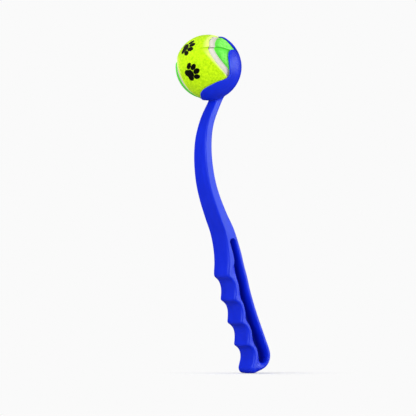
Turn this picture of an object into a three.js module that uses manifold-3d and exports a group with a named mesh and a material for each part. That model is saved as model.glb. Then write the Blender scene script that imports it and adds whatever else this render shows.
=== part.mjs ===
// A hand-held dog ball thrower with its ball, in millimetres, +Z up. Its grip and arm are
// mirror-symmetric about the plane X = 0, the cup's fingers are not quite. The throwing side,
// with the finger scallops and the mouth of the cup, faces -Y. The origin is inside the grip,
// halfway along its scallops, where a hand holds it.
import * as THREE from 'three';
import { mergeVertices } from 'three/addons/utils/BufferGeometryUtils.js';
import Module from 'manifold-3d';

const wasm = await Module();
wasm.setup();

// Driving dimensions of the ball
const ballRadius = 31.75;
const feltThickness = 3;
const coreWall = 3.2;
const seamWidth = 6.3;
const seamRecess = 0.3;
const pieceGap = 0.3;
// The lower the seam lobe is, the straighter the seam runs
const seamLobe = 0.154;
// The yellow panel's waist looks this far round from -Y and this far up, and its lobes are turned
// about that line
const panelHeading = 10.3;
const panelElevation = 26;
const panelSpin = 57.7;
// The core's halves meet on a plane, whose normal has this heading and elevation
const partingHeading = 156.5;
const partingElevation = 53;

// Driving dimensions of the launcher's grip and arm, measured from the butt's flat end
const ballHeight = 304;
const ballReach = 59;
const gripDepth = 21;
const gripWidth = 25.6;
const edgeRadius = 2.8;
const frontCrown = 0.9;
const buttRounding = 5;
const buttTurnAngle = 13;
// The arm enters the cup this far back from straight under the ball
const armEntryAngle = 36;
const armEntryDepth = 5;

// Driving dimensions of the finger scallops
const scallopCount = 4;
const scallopPitch = 23.9;
const scallopDepth = 5.1;
const bumpRise = 1.3;
const bumpFade = 13;
const lastBumpHeight = 30;
const scallopSkewShare = 0.73;

// Driving dimensions of the cored channels in the grip's two sides
const webThickness = 3;
const ribThickness = 2.1;
const channelFrontWall = 6.4;
const channelBottom = 6.5;
const channelTop = 138;
const overrun = 6;

// Driving dimensions of the cup
const ballClearance = 0.5;
const cupWall = 1.7;
const lipWall = 1.1;
const lipTaperAngle = 50;
const cupElevation = 27;
const slitWidth = 3.6;
const slitSideAngle = 44.5;
const slitBottomAngle = 114;

// The spine as shares of the ball's height and reach, from the butt up to the cup
const spineShares = [
  [0, 0], [0.045, 0.031], [0.09, 0.11], [0.171, 0.276], [0.247, 0.419], [0.323, 0.538],
  [0.391, 0.599], [0.456, 0.696], [0.509, 0.827], [0.562, 0.946], [0.614, 1.034], [0.667, 1.084],
  [0.719, 1.102], [0.772, 1.082], [0.825, 1.007], [0.877, 0.873],
];
// Depth and width along the spine's length, as shares of the grip's depth and width
const depthShares = [
  [0, 1.12], [0.05, 1.16], [0.1, 1.08], [0.2, 1.01], [0.28, 1.02], [0.315, 1.07], [0.345, 1.04],
  [0.38, 0.93], [0.44, 0.73], [0.5, 0.585], [0.56, 0.49], [0.63, 0.45], [0.75, 0.42], [0.85, 0.41],
  [0.9, 0.395], [0.95, 0.365], [1, 0.36],
];
const widthShares = [
  [0, 0.98], [0.2, 1], [0.42, 1], [0.5, 1.03], [0.57, 1.01], [0.65, 0.93], [0.75, 0.82],
  [0.81, 0.73], [0.85, 0.64], [0.9, 0.57], [0.95, 0.53], [1, 0.53],
];
// Thickness of the channels' front wall, thinner behind the lower scallops
const frontWallShares = [[0, 0.7], [0.12, 0.64], [0.24, 0.8], [0.31, 1], [0.5, 0.98]];
// The cup's rim: angle around the mouth's axis from +X, and angle from that axis. Low values are
// the fingers at both sides and under the ball, and the wide lobe at the cup's top
const rimAngles = [
  [-90, 97], [-80, 90], [-71, 84.3], [-62, 82], [-55, 81.8], [-48, 82.8], [-36.5, 87],
  [-27.5, 93.2], [-21, 99], [-15, 102.3], [-9, 101.8], [-2, 97.4], [8, 90.5], [17, 86.4],
  [26, 85.6], [34, 88.5], [42, 93], [54, 88], [66, 86], [78, 86.5], [90, 88], [102, 86.5],
  [114, 86], [126, 88], [138, 93], [146, 88.5], [154, 85.6], [163, 86.4], [172, 91], [180, 97.4],
  [187, 100], [193, 96], [200, 88], [207, 83.5], [214, 83], [221, 86.5], [228, 93.5], [235, 102],
  [242, 109.5], [249, 110], [256, 107], [263, 102.5], [270, 97],
];

// Counts
const scallopSteps = 8;
const armSteps = 34;
const cornerSteps = 4;
const faceSteps = 3;
const roundSteps = 4;
const channelSteps = 26;
const rimSteps = 84;
const shellSteps = 9;
const lipSteps = 4;
const slitSteps = 5;
const seatSegments = 48;
const panelSteps = 72;
const panelRings = 8;
const outerDetail = 8;
const innerDetail = 7;
const bandSteps = 100;
const coreSegments = 24;
const coreRings = 7;
const tangentStepAngle = 0.001;

// Hand-chosen shares: how far the wedge that cuts a panel reaches past the ball, how much of a
// section its corners may take, and how much of the butt's rounding draws the section in
const wedgeReachShare = 1.5;
const cornerShare = 0.46;
const insetShare = 0.8;
const tipShare = 0.35;

const coreRadius = ballRadius - feltThickness - pieceGap;
const feltInner = ballRadius - feltThickness + pieceGap / 3;
const cupInner = ballRadius + ballClearance;
const cupOuter = cupInner + cupWall;
const lipRadius = lipWall / 2;
const lipMiddle = cupInner + lipRadius;
const ballCentre = new THREE.Vector3(0, -ballReach, ballHeight);
const radians = THREE.MathUtils.degToRad;

// Boolean helpers
function solidOf(geometry) {
  const bare = geometry.clone();
  bare.deleteAttribute('normal');
  bare.deleteAttribute('uv');
  const merged = mergeVertices(bare);
  return new wasm.Manifold(new wasm.Mesh({
    numProp: 3,
    vertProperties: merged.attributes.position.array,
    triVerts: merged.index.array,
  }));
}

function geometryOf(solid) {
  const mesh = solid.getMesh();
  return surface(mesh.vertProperties, mesh.triVerts);
}

function surface(positions, indices) {
  const geometry = new THREE.BufferGeometry();
  geometry.setAttribute('position', new THREE.BufferAttribute(new Float32Array(positions), 3));
  geometry.setIndex([...indices]);
  geometry.computeVertexNormals();
  return geometry;
}

// A smooth table: value of a row list [place, value] at a place, by monotone cubic pieces
function tableValue(rows, place) {
  const last = rows.length - 1;
  let i = 0;
  while (i < last - 1 && place > rows[i + 1][0]) i += 1;
  const slope = (k) => {
    const low = rows[Math.max(k - 1, 0)];
    const high = rows[Math.min(k + 1, last)];
    return (high[1] - low[1]) / (high[0] - low[0]);
  };
  const span = rows[i + 1][0] - rows[i][0];
  const t = THREE.MathUtils.clamp((place - rows[i][0]) / span, 0, 1);
  const t2 = t * t;
  const t3 = t2 * t;
  return rows[i][1] * (2 * t3 - 3 * t2 + 1) + slope(i) * span * (t3 - 2 * t2 + t)
    + rows[i + 1][1] * (3 * t2 - 2 * t3) + slope(i + 1) * span * (t3 - t2);
}

// A closed skin through rings of equal point counts, with its first and last ring capped flat
function loft(rings) {
  const count = rings[0].length;
  const positions = rings.flat().flatMap((p) => [p.x, p.y, p.z]);
  const indices = [];
  for (let r = 0; r < rings.length - 1; r += 1) {
    for (let i = 0; i < count; i += 1) {
      const j = (i + 1) % count;
      const a = r * count + i;
      const b = r * count + j;
      indices.push(a, b, a + count, b, b + count, a + count);
    }
  }
  const top = (rings.length - 1) * count;
  for (let i = 1; i < count - 1; i += 1) {
    indices.push(0, i + 1, i, top, top + i, top + i + 1);
  }
  return surface(positions, indices);
}

// A skin of rays: ray k runs through rows of points from one shared start point to one shared end
function fan(start, rays, end) {
  const count = rays[0].length;
  const points = [start, ...rays.flat(), end];
  const positions = points.flatMap((p) => [p.x, p.y, p.z]);
  const final = points.length - 1;
  const indices = [];
  for (let k = 0; k < rays.length; k += 1) {
    const a = 1 + k * count;
    const b = 1 + ((k + 1) % rays.length) * count;
    indices.push(0, b, a, final, a + count - 1, b + count - 1);
    for (let i = 0; i < count - 1; i += 1) {
      indices.push(a + i, b + i, a + i + 1, b + i, b + i + 1, a + i + 1);
    }
  }
  return surface(positions, indices);
}

// The spine and the frames of the cross-sections along it; it ends inside the ball's space
const spineRows = spineShares.map(([rise, reach]) => (
  new THREE.Vector3(0, -reach * ballReach, rise * ballHeight)));
const armEntry = new THREE.Vector3(0, Math.sin(radians(armEntryAngle)), -Math.cos(radians(armEntryAngle)));
spineRows.push(ballCentre.clone().addScaledVector(armEntry, cupInner - armEntryDepth));
const spine = new THREE.CatmullRomCurve3(spineRows, false, 'centripetal');
const spineLength = spine.getLength();

// Place, forward direction and share of the length for a section, turned to suit the butt's face
function sectionFrame(length) {
  const share = Math.min(length, 1);
  const place = spine.getPointAt(share);
  const tangent = spine.getTangentAt(share);
  const turn = radians(buttTurnAngle) * Math.max(0, 1 - share * spineLength / scallopPitch);
  const forward = new THREE.Vector3(0, -tangent.z, tangent.y);
  forward.applyAxisAngle(new THREE.Vector3(1, 0, 0), turn);
  return { place, forward };
}

// How far the finger scallops cut into the front at a distance along the spine; each hollow is
// deepest toward the bump above it
function scallopCut(along) {
  const topBump = lastBumpHeight + scallopPitch * (scallopCount - 1);
  const beyond = Math.max(along - topBump, lastBumpHeight - scallopPitch - along, 0);
  const rise = bumpRise * (1 - THREE.MathUtils.smoothstep(beyond, 0, bumpFade));
  if (beyond > 0) return -rise;
  const cycles = (along - lastBumpHeight) / scallopPitch;
  const belowBump = Math.ceil(cycles) - cycles;
  return scallopDepth * Math.sin(Math.PI * belowBump ** scallopSkewShare) - rise;
}

// A rounded rectangle with a crowned front, as (side, forward) points around the spine
function sectionOutline(width, front, back, inset) {
  const half = width / 2 - inset;
  const ahead = front - inset;
  const behind = back - inset;
  const round = Math.max(
    Math.min(edgeRadius, cornerShare * (front + back)) - inset, tipShare * inset);
  const points = [];
  const corners = [[1, 1, 0], [-1, 1, 90], [-1, -1, 180], [1, -1, 270]];
  for (const [side, face, start] of corners) {
    const centreSide = side * (half - round);
    const centreFace = face > 0 ? ahead - round : round - behind;
    for (let i = 0; i <= cornerSteps; i += 1) {
      const angle = radians(start + 90 * i / cornerSteps);
      points.push([centreSide + round * Math.cos(angle), centreFace + round * Math.sin(angle)]);
    }
    if (start === 0 || start === 180) {
      for (let i = 1; i < faceSteps; i += 1) {
        points.push([centreSide * (1 - 2 * i / faceSteps), centreFace + face * round]);
      }
    }
  }
  const crown = frontCrown * Math.min(1, (front + back) / gripDepth);
  return points.map(([side, face]) => {
    const lift = face > 0 ? crown * (face / ahead) * (side / half) ** 2 : 0;
    return [side, face - lift];
  });
}

function sectionRing(share, inset = 0) {
  const { place, forward } = sectionFrame(share);
  const depth = gripDepth * tableValue(depthShares, share);
  const width = gripWidth * tableValue(widthShares, share);
  const front = depth / 2 - scallopCut(share * spineLength);
  return sectionOutline(width, front, depth / 2, inset).map(([side, face]) => (
    new THREE.Vector3(-side, 0, 0).addScaledVector(forward, face).add(place)));
}

function armSolid() {
  const rings = [];
  for (let i = 0; i <= roundSteps; i += 1) {
    const angle = Math.PI / 2 * i / roundSteps;
    const share = buttRounding * (1 - Math.cos(angle)) / spineLength;
    rings.push(sectionRing(share, buttRounding * (1 - Math.sin(angle)) * insetShare));
  }
  for (let i = -scallopSteps; i < scallopSteps * (scallopCount - 1); i += 1) {
    rings.push(sectionRing((lastBumpHeight + scallopPitch * i / scallopSteps) / spineLength));
  }
  const topBump = (lastBumpHeight + scallopPitch * (scallopCount - 1)) / spineLength;
  for (let i = 0; i <= armSteps; i += 1) {
    rings.push(sectionRing(topBump + (1 - topBump) * i / armSteps));
  }
  return solidOf(loft(rings));
}

// One side's channel: a long pocket with round ends between the front wall and the back rib
function channelSolid(side) {
  const ahead = [];
  const behind = [];
  const armShare = tableValue(depthShares, channelTop / spineLength);
  for (let i = 0; i <= channelSteps; i += 1) {
    const progress = (1 - Math.cos(Math.PI * i / channelSteps)) / 2;
    const along = channelBottom + (channelTop - channelBottom) * progress;
    const share = along / spineLength;
    const { place, forward } = sectionFrame(share);
    const depthShare = tableValue(depthShares, share);
    const depth = gripDepth * depthShare;
    const far = depth / 2 - ribThickness;
    const inGrip = Math.max(0, (depthShare - armShare) / (1 - armShare));
    const wall = channelFrontWall * tableValue(frontWallShares, share) * depthShare;
    const near = depth / 2 - (scallopDepth - bumpRise) * inGrip - wall;
    const middle = (near - far) / 2;
    const half = (near + far) / 2;
    const fromEnd = Math.min(along - channelBottom, channelTop - along, half);
    const close = Math.sqrt(1 - (1 - fromEnd / half) ** 2);
    ahead.push(place.clone().addScaledVector(forward, middle + half * close));
    if (i > 0 && i < channelSteps) {
      behind.push(place.clone().addScaledVector(forward, middle - half * close));
    }
  }
  const outline = new THREE.Shape([...ahead, ...behind.reverse()].map((p) => (
    new THREE.Vector2(p.y, p.z))));
  const pocket = new THREE.ExtrudeGeometry(outline, {
    depth: gripWidth / 2 + overrun, bevelEnabled: false, steps: 1,
  });
  // The outline's X and Y become Y and Z, and its thickness runs along X
  const axes = new THREE.Matrix4().makeBasis(
    new THREE.Vector3(0, 1, 0), new THREE.Vector3(0, 0, 1), new THREE.Vector3(1, 0, 0));
  pocket.applyMatrix4(axes);
  const start = side > 0 ? webThickness / 2 : -webThickness / 2 - gripWidth / 2 - overrun;
  pocket.translate(start, 0, 0);
  return solidOf(pocket);
}

// The cup's own axes: the mouth looks forward and up, and angles around it start from +X
const mouthAxis = new THREE.Vector3(
  0, -Math.cos(radians(cupElevation)), Math.sin(radians(cupElevation)));
const mouthUp = new THREE.Vector3(
  0, Math.sin(radians(cupElevation)), Math.cos(radians(cupElevation)));

function cupDirection(around, reach) {
  const a = radians(around);
  const r = radians(reach);
  return new THREE.Vector3(Math.cos(a), 0, 0).addScaledVector(mouthUp, Math.sin(a))
    .multiplyScalar(Math.sin(r)).addScaledVector(mouthAxis, Math.cos(r));
}

// The rim's angle from the mouth's axis, from the table that starts straight under the ball
function rimReach(around) {
  return tableValue(rimAngles, THREE.MathUtils.euclideanModulo(around + 90, 360) - 90);
}

// The cup's wall thins from cupWall to lipWall over the last degrees before the rim
function outerRadius(reach, lip) {
  const inward = THREE.MathUtils.smoothstep(reach - lip, 0, lipTaperAngle);
  return cupInner + lipWall + (cupWall - lipWall) * inward;
}

// The cup: outer skin, rounded lip, inner sphere, ray by ray from the middle of its back
function cupSolid() {
  const rays = [];
  for (let k = 0; k < rimSteps; k += 1) {
    const around = 360 * k / rimSteps;
    const lip = rimReach(around) + THREE.MathUtils.radToDeg(lipRadius / lipMiddle);
    const ray = [];
    for (let i = 1; i <= shellSteps; i += 1) {
      const reach = 180 - (180 - lip) * i / shellSteps;
      ray.push(cupDirection(around, reach).multiplyScalar(outerRadius(reach, lip)));
    }
    for (let i = 1; i < lipSteps; i += 1) {
      const turn = Math.PI * i / lipSteps;
      const reach = lip - THREE.MathUtils.radToDeg(lipRadius * Math.sin(turn) / lipMiddle);
      ray.push(cupDirection(around, reach).multiplyScalar(lipMiddle + lipRadius * Math.cos(turn)));
    }
    for (let i = shellSteps; i >= 1; i -= 1) {
      const reach = 180 - (180 - lip) * i / shellSteps;
      ray.push(cupDirection(around, reach).multiplyScalar(cupInner));
    }
    rays.push(ray);
  }
  const back = mouthAxis.clone().negate();
  const shell = fan(back.clone().multiplyScalar(cupOuter), rays,
    back.clone().multiplyScalar(cupInner));
  shell.translate(...ballCentre);
  return solidOf(shell);
}

// One slit between a side finger and the back of the cup, with a round bottom
function slitSolid(side) {
  const around = side > 0 ? slitSideAngle : 180 - slitSideAngle;
  const bottom = cupDirection(around, slitBottomAngle).multiplyScalar(cupOuter);
  const mouth = cupDirection(around, rimReach(around)).multiplyScalar(cupOuter);
  const length = mouth.distanceTo(bottom) + overrun;
  const half = slitWidth / 2;
  const shape = new THREE.Shape();
  shape.moveTo(half, length);
  shape.lineTo(-half, length);
  shape.lineTo(-half, half);
  shape.absarc(0, half, half, Math.PI, 2 * Math.PI, false);
  shape.closePath();
  const bar = new THREE.ExtrudeGeometry(shape, {
    depth: cupWall + 2 * overrun, bevelEnabled: false, curveSegments: slitSteps,
  });
  const outward = cupDirection(around, (slitBottomAngle + rimReach(around)) / 2);
  const along = mouth.clone().sub(bottom).addScaledVector(
    outward, -outward.dot(mouth.clone().sub(bottom))).normalize();
  const across = along.clone().cross(outward);
  bar.applyMatrix4(new THREE.Matrix4().makeBasis(across, along, outward));
  const start = bottom.clone().addScaledVector(outward, -cupWall - overrun);
  bar.translate(...start.add(ballCentre));
  return solidOf(bar);
}

// Cup, arm and grip are one moulding; the arm ends inside the thickness of the cup's wall
function launcherGeometry() {
  const seat = new THREE.SphereGeometry(lipMiddle, seatSegments, seatSegments);
  seat.translate(...ballCentre);
  const arm = armSolid().subtract(solidOf(seat));
  let launcher = arm.add(cupSolid());
  for (const side of [1, -1]) {
    launcher = launcher.subtract(slitSolid(side)).subtract(channelSolid(side));
  }
  return geometryOf(launcher);
}

// The ball's seam runs as a wave around the ball, in the frame of the yellow panel's waist
function seamPoint(turn) {
  const wide = 1 - seamLobe;
  return new THREE.Vector3(
    wide * Math.cos(turn) + seamLobe * Math.cos(3 * turn),
    wide * Math.sin(turn) - seamLobe * Math.sin(3 * turn),
    2 * Math.sqrt(wide * seamLobe) * Math.sin(2 * turn)).normalize();
}

// A point beside the seam: a signed distance on the ball's face, positive toward +Z's panel
function besideSeam(turn, distance) {
  const point = seamPoint(turn);
  const tangent = seamPoint(turn + tangentStepAngle).sub(seamPoint(turn - tangentStepAngle)).normalize();
  const across = point.clone().cross(tangent);
  const angle = distance / ballRadius;
  return point.multiplyScalar(Math.cos(angle)).addScaledVector(across, Math.sin(angle));
}

// The wedge of space over one panel, from the ball's middle out past its face
function panelWedge(pole) {
  const middle = new THREE.Vector3(0, 0, pole);
  const edge = seamWidth / 2 + pieceGap;
  const far = ballRadius * wedgeReachShare;
  const rays = [];
  for (let k = 0; k < panelSteps; k += 1) {
    const rim = besideSeam(-pole * 2 * Math.PI * k / panelSteps, pole * edge);
    const angle = middle.angleTo(rim);
    const ray = [];
    for (let i = 1; i <= panelRings; i += 1) {
      const swing = angle * i / panelRings;
      ray.push(middle.clone().multiplyScalar(Math.sin(angle - swing))
        .addScaledVector(rim, Math.sin(swing)).setLength(far));
    }
    rays.push(ray);
  }
  return solidOf(fan(middle.clone().multiplyScalar(far), rays, new THREE.Vector3()));
}

// One felt panel: the part of the ball's skin that lies in its wedge
function panelGeometry(pole) {
  const outer = solidOf(new THREE.IcosahedronGeometry(ballRadius, outerDetail));
  const inner = solidOf(new THREE.IcosahedronGeometry(feltInner, innerDetail));
  return geometryOf(outer.subtract(inner).intersect(panelWedge(pole)));
}

// The seam's cement: a closed band between the two panels
function seamGeometry() {
  const inner = feltInner;
  const outer = ballRadius - seamRecess;
  const half = seamWidth / 2;
  const positions = [];
  const indices = [];
  const corners = [[-half, outer], [0, outer], [half, outer], [half, inner], [0, inner], [-half, inner]];
  for (let k = 0; k < bandSteps; k += 1) {
    const turn = 2 * Math.PI * k / bandSteps;
    for (const [offset, radius] of corners) {
      positions.push(...besideSeam(turn, offset).multiplyScalar(radius));
    }
    for (let c = 0; c < corners.length; c += 1) {
      const a = k * corners.length + c;
      const b = k * corners.length + (c + 1) % corners.length;
      const next = (((k + 1) % bandSteps) - k) * corners.length;
      indices.push(a, a + next, b, b, a + next, b + next);
    }
  }
  return surface(positions, indices);
}

// Half of the hollow rubber core, a bowl that opens toward -Z before it is turned
function coreGeometry() {
  const profile = [];
  const outerRim = Math.asin(pieceGap / 2 / coreRadius);
  const innerRadius = coreRadius - coreWall;
  const innerRim = Math.asin(pieceGap / 2 / innerRadius);
  for (let i = 0; i <= coreRings; i += 1) {
    const rise = outerRim + (Math.PI / 2 - outerRim) * i / coreRings;
    const side = i === coreRings ? 0 : coreRadius * Math.cos(rise);
    profile.push(new THREE.Vector2(side, coreRadius * Math.sin(rise)));
  }
  for (let i = coreRings; i >= 0; i -= 1) {
    const rise = innerRim + (Math.PI / 2 - innerRim) * i / coreRings;
    const side = i === coreRings ? 0 : innerRadius * Math.cos(rise);
    profile.push(new THREE.Vector2(side, innerRadius * Math.sin(rise)));
  }
  const bowl = new THREE.LatheGeometry([profile[profile.length - 1], ...profile], coreSegments);
  bowl.rotateX(Math.PI / 2);
  return bowl;
}

// The ball's turns: the panels follow the yellow waist, the core follows the parting plane
function panelTurn() {
  const elevation = radians(panelElevation);
  const waist = new THREE.Vector3(0, -Math.cos(elevation), Math.sin(elevation));
  const down = new THREE.Vector3(0, -Math.sin(elevation), -Math.cos(elevation));
  const spin = radians(panelSpin);
  const lobe = new THREE.Vector3(Math.cos(spin), 0, 0).addScaledVector(down, Math.sin(spin));
  const third = waist.clone().cross(lobe);
  const diagonal = new THREE.Matrix4().makeRotationZ(Math.PI / 4);
  const basis = new THREE.Matrix4().makeBasis(lobe, third, waist);
  return new THREE.Matrix4().makeRotationZ(radians(panelHeading)).multiply(basis).multiply(diagonal);
}

function partingTurn() {
  const heading = radians(partingHeading);
  const elevation = radians(partingElevation);
  const normal = new THREE.Vector3(Math.cos(heading) * Math.cos(elevation),
    Math.sin(heading) * Math.cos(elevation), Math.sin(elevation));
  const turn = new THREE.Quaternion().setFromUnitVectors(new THREE.Vector3(0, 0, 1), normal);
  return new THREE.Matrix4().makeRotationFromQuaternion(turn);
}

function piece(name, geometry, color, roughness) {
  const mesh = new THREE.Mesh(geometry, new THREE.MeshStandardMaterial({
    color, roughness, metalness: 0,
  }));
  mesh.name = name;
  return mesh;
}

// Everything above is measured from the butt's flat end; the grip's middle becomes the origin
const gripMiddle = lastBumpHeight + scallopPitch * (scallopCount - 1) / 2;
const thrower = new THREE.Group();
thrower.position.copy(spine.getPointAt(gripMiddle / spineLength)).negate();
thrower.add(piece('launcher', launcherGeometry(), '#233cf5', 0.35));

const ball = new THREE.Group();
ball.position.copy(ballCentre);
thrower.add(ball);

const skin = new THREE.Group();
skin.applyMatrix4(panelTurn());
skin.add(piece('felt_panel_yellow', panelGeometry(1), '#c6f014', 0.95));
skin.add(piece('felt_panel_green', panelGeometry(-1), '#82ff5f', 0.95));
skin.add(piece('seam_cement', seamGeometry(), '#e4deda', 0.8));
ball.add(skin);

const core = new THREE.Group();
core.applyMatrix4(partingTurn());
const upperHalf = piece('core_half_upper', coreGeometry(), '#2a2a28', 0.8);
const lowerHalf = piece('core_half_lower', coreGeometry(), '#2a2a28', 0.8);
lowerHalf.rotation.x = Math.PI;
core.add(upperHalf);
core.add(lowerHalf);
ball.add(core);

export default thrower;
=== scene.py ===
# %% [markdown]
# # A dog ball thrower with its ball
# The real thing is one injection-moulded plastic arm, with a scalloped grip at its foot and a
# springy cup at its head, and a felt-covered ball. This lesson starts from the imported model,
# keeps its sizes and places, and gives each visible piece the soft edges and the finish that
# the real one has. All sizes are typed in millimetres and turned into metres when a mesh is made.

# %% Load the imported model
import math

import bmesh
import bpy
import numpy as np
from mathutils import Matrix, Vector


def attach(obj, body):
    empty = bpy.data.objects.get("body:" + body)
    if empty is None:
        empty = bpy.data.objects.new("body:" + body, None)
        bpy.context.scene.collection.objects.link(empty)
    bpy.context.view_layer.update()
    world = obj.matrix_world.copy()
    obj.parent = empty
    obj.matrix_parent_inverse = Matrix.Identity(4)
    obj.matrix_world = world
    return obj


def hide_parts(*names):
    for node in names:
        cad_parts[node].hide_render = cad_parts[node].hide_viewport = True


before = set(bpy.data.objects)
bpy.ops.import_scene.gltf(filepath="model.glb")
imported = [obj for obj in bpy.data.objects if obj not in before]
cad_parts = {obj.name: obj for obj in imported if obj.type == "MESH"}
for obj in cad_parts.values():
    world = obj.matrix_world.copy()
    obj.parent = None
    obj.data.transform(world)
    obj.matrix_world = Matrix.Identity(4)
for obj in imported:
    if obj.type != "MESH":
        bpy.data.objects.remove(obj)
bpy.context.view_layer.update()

MM = 0.001
print("nodes:", sorted(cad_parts))

# %% [markdown]
# ## Sizes shared with the model
# The finer pieces lie where the model's pieces lie, so they are worked out from the same
# sizes. The model measures from the flat end of the butt, and its origin is inside the grip.

# %% Sizes shared with the model
# The ball, and where its middle is
BALL_RADIUS = 31.75
SEAM_WIDTH, SEAM_RECESS, SEAM_LOBE = 6.3, 1.0, 0.154
FELT_THICKNESS, NAP = 3.0, 0.35
BALL_HEIGHT, BALL_REACH = 304.0, 59.0
# The grip, its finger scallops and its side channels
GRIP_DEPTH, GRIP_WIDTH, FRONT_CROWN = 21.0, 25.6, 0.9
BUTT_ROUNDING, HEEL_ROUNDING, BUTT_TURN = 5.0, 15.0, 13.0
SCALLOPS, SCALLOP_PITCH, SCALLOP_DEPTH, SCALLOP_SKEW = 4, 23.9, 5.3, 0.73
BUMP_RISE, BUMP_FADE = 1.5, 13.0
LAST_BUMP = 30.0
WEB, RIB, FRONT_WALL = 3.0, 3.2, 6.4
CHANNEL_BOTTOM, CHANNEL_TOP = 6.5, 138.0
# The cup, its slits, and where the arm enters it; angles are in degrees
BALL_GAP = 0.5
CUP_INNER = BALL_RADIUS + BALL_GAP
CUP_WALL, LIP_WALL, LIP_TAPER = 1.7, 1.5, 50.0
CUP_OUTER = CUP_INNER + CUP_WALL
CUP_ELEVATION = 27.0
SLIT_SIDE, SLIT_BOTTOM, SLIT_WIDTH = 44.5, 114.0, 3.6
ARM_ENTRY, ARM_ENTRY_DEPTH = 36.0, 5.0

BALL = np.array([0.0, -BALL_REACH, BALL_HEIGHT])
print("ball %.1f mm across, cup %.1f mm across inside" % (2 * BALL_RADIUS, 2 * CUP_INNER))


# %% [markdown]
# ## Small helpers
# A smooth table turns a short list of given places and values into a curve. One function
# makes a mesh object from points and faces, with its place in its mesh and its object at the
# origin, so that patterns on Object coordinates stay put. Colours are written as sRGB codes and
# turned to linear by one function, and one function adds each shader or geometry node.

# %% Small helpers
def table(rows, place):
    """Value of [place, value] rows at a place, by smooth cubic pieces."""
    rows = np.asarray(rows, float)
    x, y = rows[:, 0], rows[:, 1]
    place = np.clip(place, x[0], x[-1])
    i = np.clip(np.searchsorted(x, place) - 1, 0, len(x) - 2)
    before, after = np.maximum(np.arange(len(x)) - 1, 0), np.minimum(np.arange(len(x)) + 1, len(x) - 1)
    slope = (y[after] - y[before]) / (x[after] - x[before])
    span = x[i + 1] - x[i]
    t = (place - x[i]) / span
    return (y[i] * (2 * t**3 - 3 * t**2 + 1) + slope[i] * span * (t**3 - 2 * t**2 + t)
            + y[i + 1] * (3 * t**2 - 2 * t**3) + slope[i + 1] * span * (t**3 - t**2))


def smoothstep(x):
    x = np.clip(x, 0, 1)
    return x * x * (3 - 2 * x)


def grid_faces(rows, columns):
    """Quads between closed rings of points, each ring's last point joined to its first."""
    i = np.arange(rows - 1)[:, None] * columns
    j = np.arange(columns)[None, :]
    k = (j + 1) % columns
    return np.stack([i + j, i + k, i + k + columns, i + j + columns], -1).reshape(-1, 4).tolist()


def mesh_object(name, points, faces):
    """A smooth-shaded mesh object from points in millimetres in the row frame."""
    mesh = bpy.data.meshes.new(name)
    mesh.from_pydata((np.asarray(points) * MM).tolist(), [], faces)
    mesh.validate()
    mesh.shade_smooth()
    piece = bpy.data.objects.new(name, mesh)
    bpy.context.scene.collection.objects.link(piece)
    return piece


def linear(code):
    """An sRGB hex colour as linear RGBA."""
    parts = [int(code[i:i + 2], 16) / 255 for i in (1, 3, 5)]
    return (*[c / 12.92 if c <= 0.04045 else ((c + 0.055) / 1.055) ** 2.4 for c in parts], 1.0)


def add_node(tree, kind, settings=None, inputs=None):
    """Adds a node; an input is a value or the output socket that feeds it."""
    node = tree.nodes.new(kind)
    for key, value in (settings or {}).items():
        setattr(node, key, value)
    for key, value in (inputs or {}).items():
        if isinstance(value, bpy.types.NodeSocket):
            tree.links.new(value, node.inputs[key])
        else:
            node.inputs[key].default_value = value
    return node


# %% [markdown]
# ## The arm's middle line
# The arm is one long S-curve from the butt up into the cup. The line through its middle is a
# smooth curve through listed places, given as rise and reach in shares of the ball's height
# and reach, and cross-sections stand square to it. Their depth, width and front wall follow
# tables of the same kind: a share of the arm's length, and a share of the grip's size there.

# %% The arm's middle line
SPINE_SHARES = [
    [0, 0], [0.045, 0.031], [0.09, 0.11], [0.171, 0.276], [0.247, 0.419], [0.323, 0.538],
    [0.391, 0.599], [0.456, 0.696], [0.509, 0.827], [0.562, 0.946], [0.614, 1.034], [0.667, 1.084],
    [0.719, 1.102], [0.772, 1.082], [0.825, 1.007], [0.877, 0.873],
]
DEPTH_SHARES = [
    [0, 1.12], [0.05, 1.16], [0.1, 1.08], [0.2, 1.01], [0.28, 1.02], [0.315, 1.07], [0.345, 1.04],
    [0.38, 0.93], [0.44, 0.73], [0.5, 0.585], [0.56, 0.49], [0.63, 0.45], [0.75, 0.42], [0.85, 0.41],
    [0.9, 0.395], [0.95, 0.365], [1, 0.36],
]
WIDTH_SHARES = [
    [0, 0.98], [0.2, 1], [0.42, 1], [0.5, 1.03], [0.57, 1.01], [0.65, 0.93], [0.75, 0.82],
    [0.81, 0.73], [0.85, 0.64], [0.9, 0.57], [0.95, 0.53], [1, 0.53],
]
FRONT_WALL_SHARES = [[0, 0.7], [0.12, 0.64], [0.24, 0.8], [0.31, 1], [0.5, 0.98]]
LINE_STEPS = 60


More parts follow.
